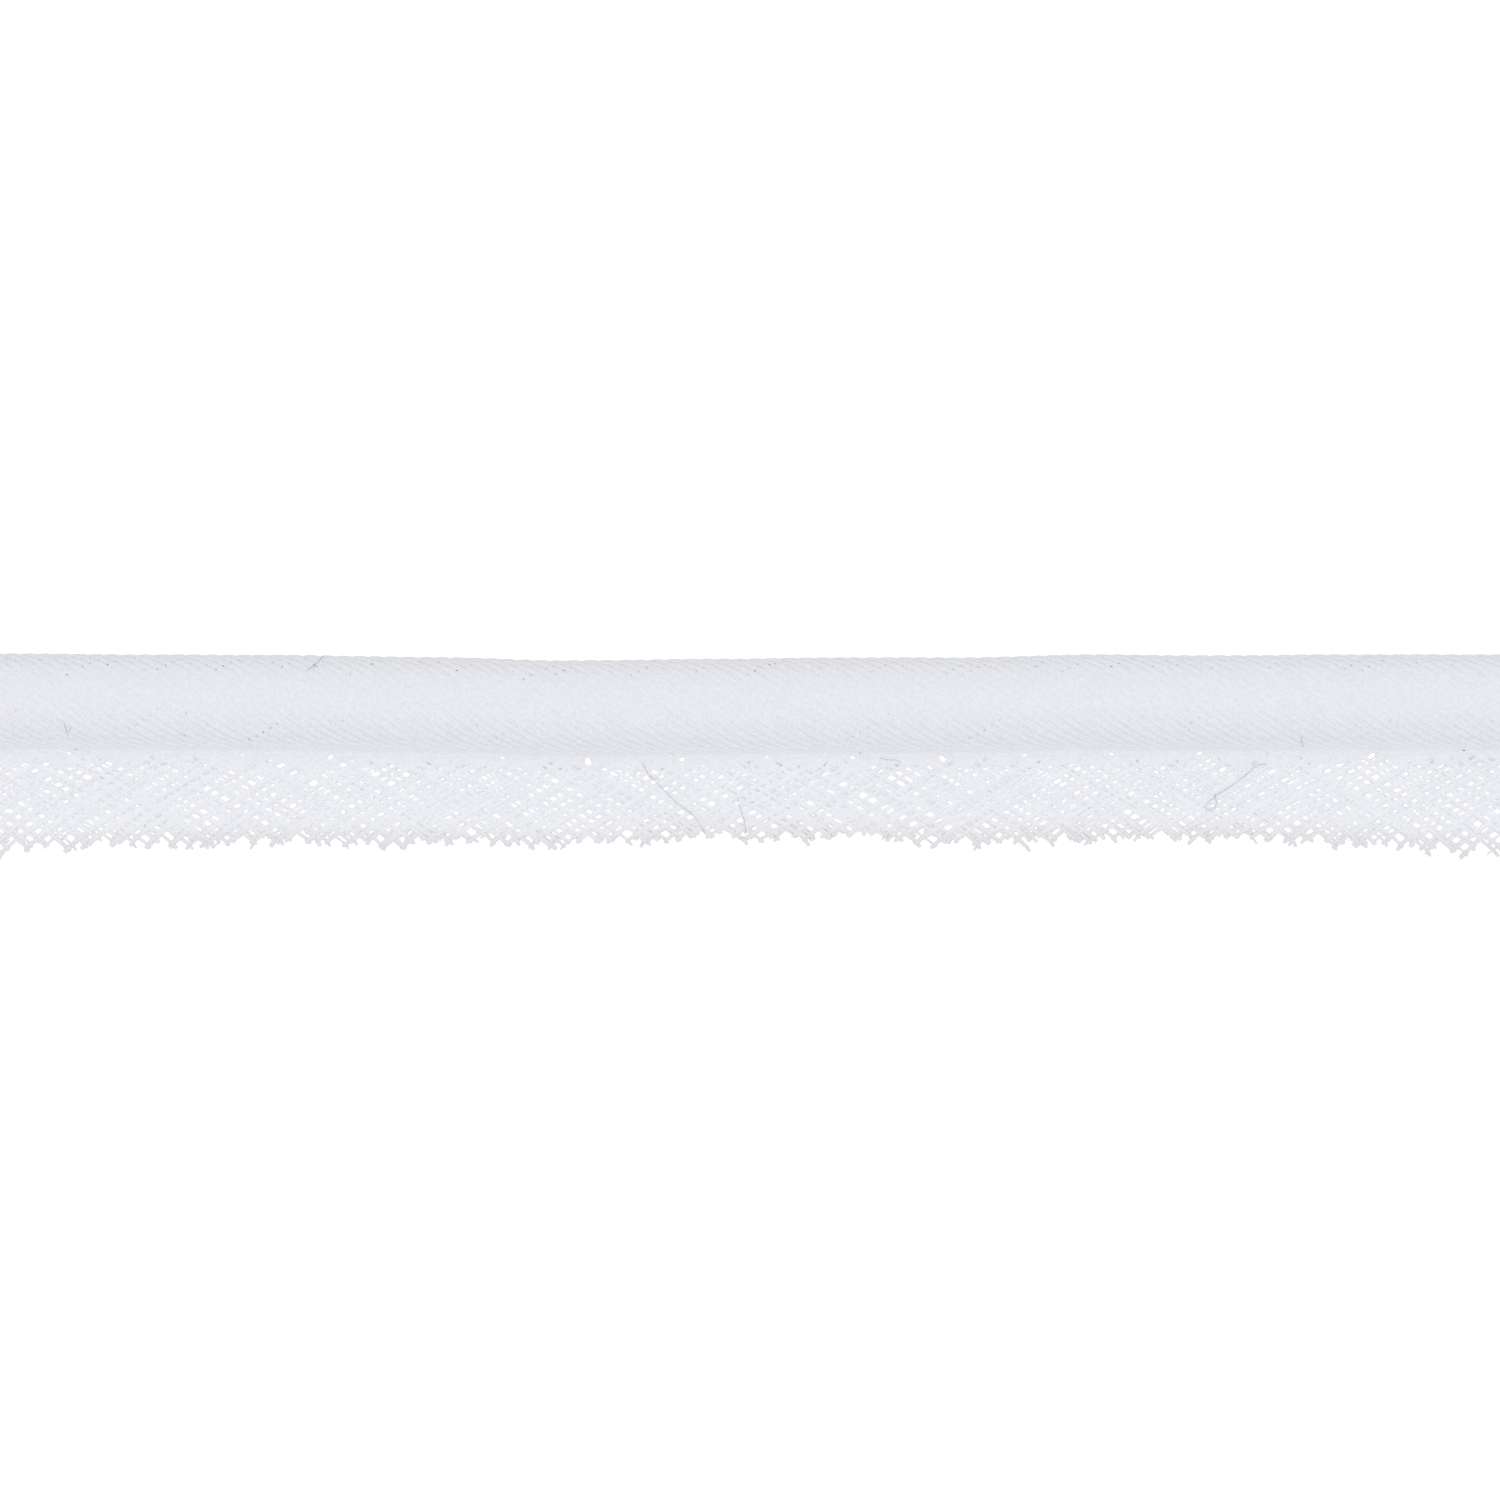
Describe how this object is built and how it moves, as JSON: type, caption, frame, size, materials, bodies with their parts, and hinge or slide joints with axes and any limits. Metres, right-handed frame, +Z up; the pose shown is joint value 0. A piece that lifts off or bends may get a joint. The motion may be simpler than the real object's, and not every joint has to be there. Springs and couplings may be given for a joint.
{
  "type": "corded piping",
  "caption": "Cut length of corded piping: a bias-cut cotton strip folded round a filler cord and seamed close to it, with a sewing flange of both layers and frayed raw edges.",
  "frame": {"origin": "centre of the part's box on the surface that the piping lies on", "axes": "+X along the piping, +Y from the flange towards the cord, +Z up from the surface"},
  "size_m": [0.1, 0.01, 0.0045],
  "materials": {
    "cover_cotton": "open plain-weave cotton, matt, a slightly bluish white",
    "filler_cotton": "soft twisted cotton filler, matt white"
  },
  "bodies": {
    "root": {"bias_strip": "cover_cotton", "filler_cord": "filler_cotton"}
  },
  "joints": []
}
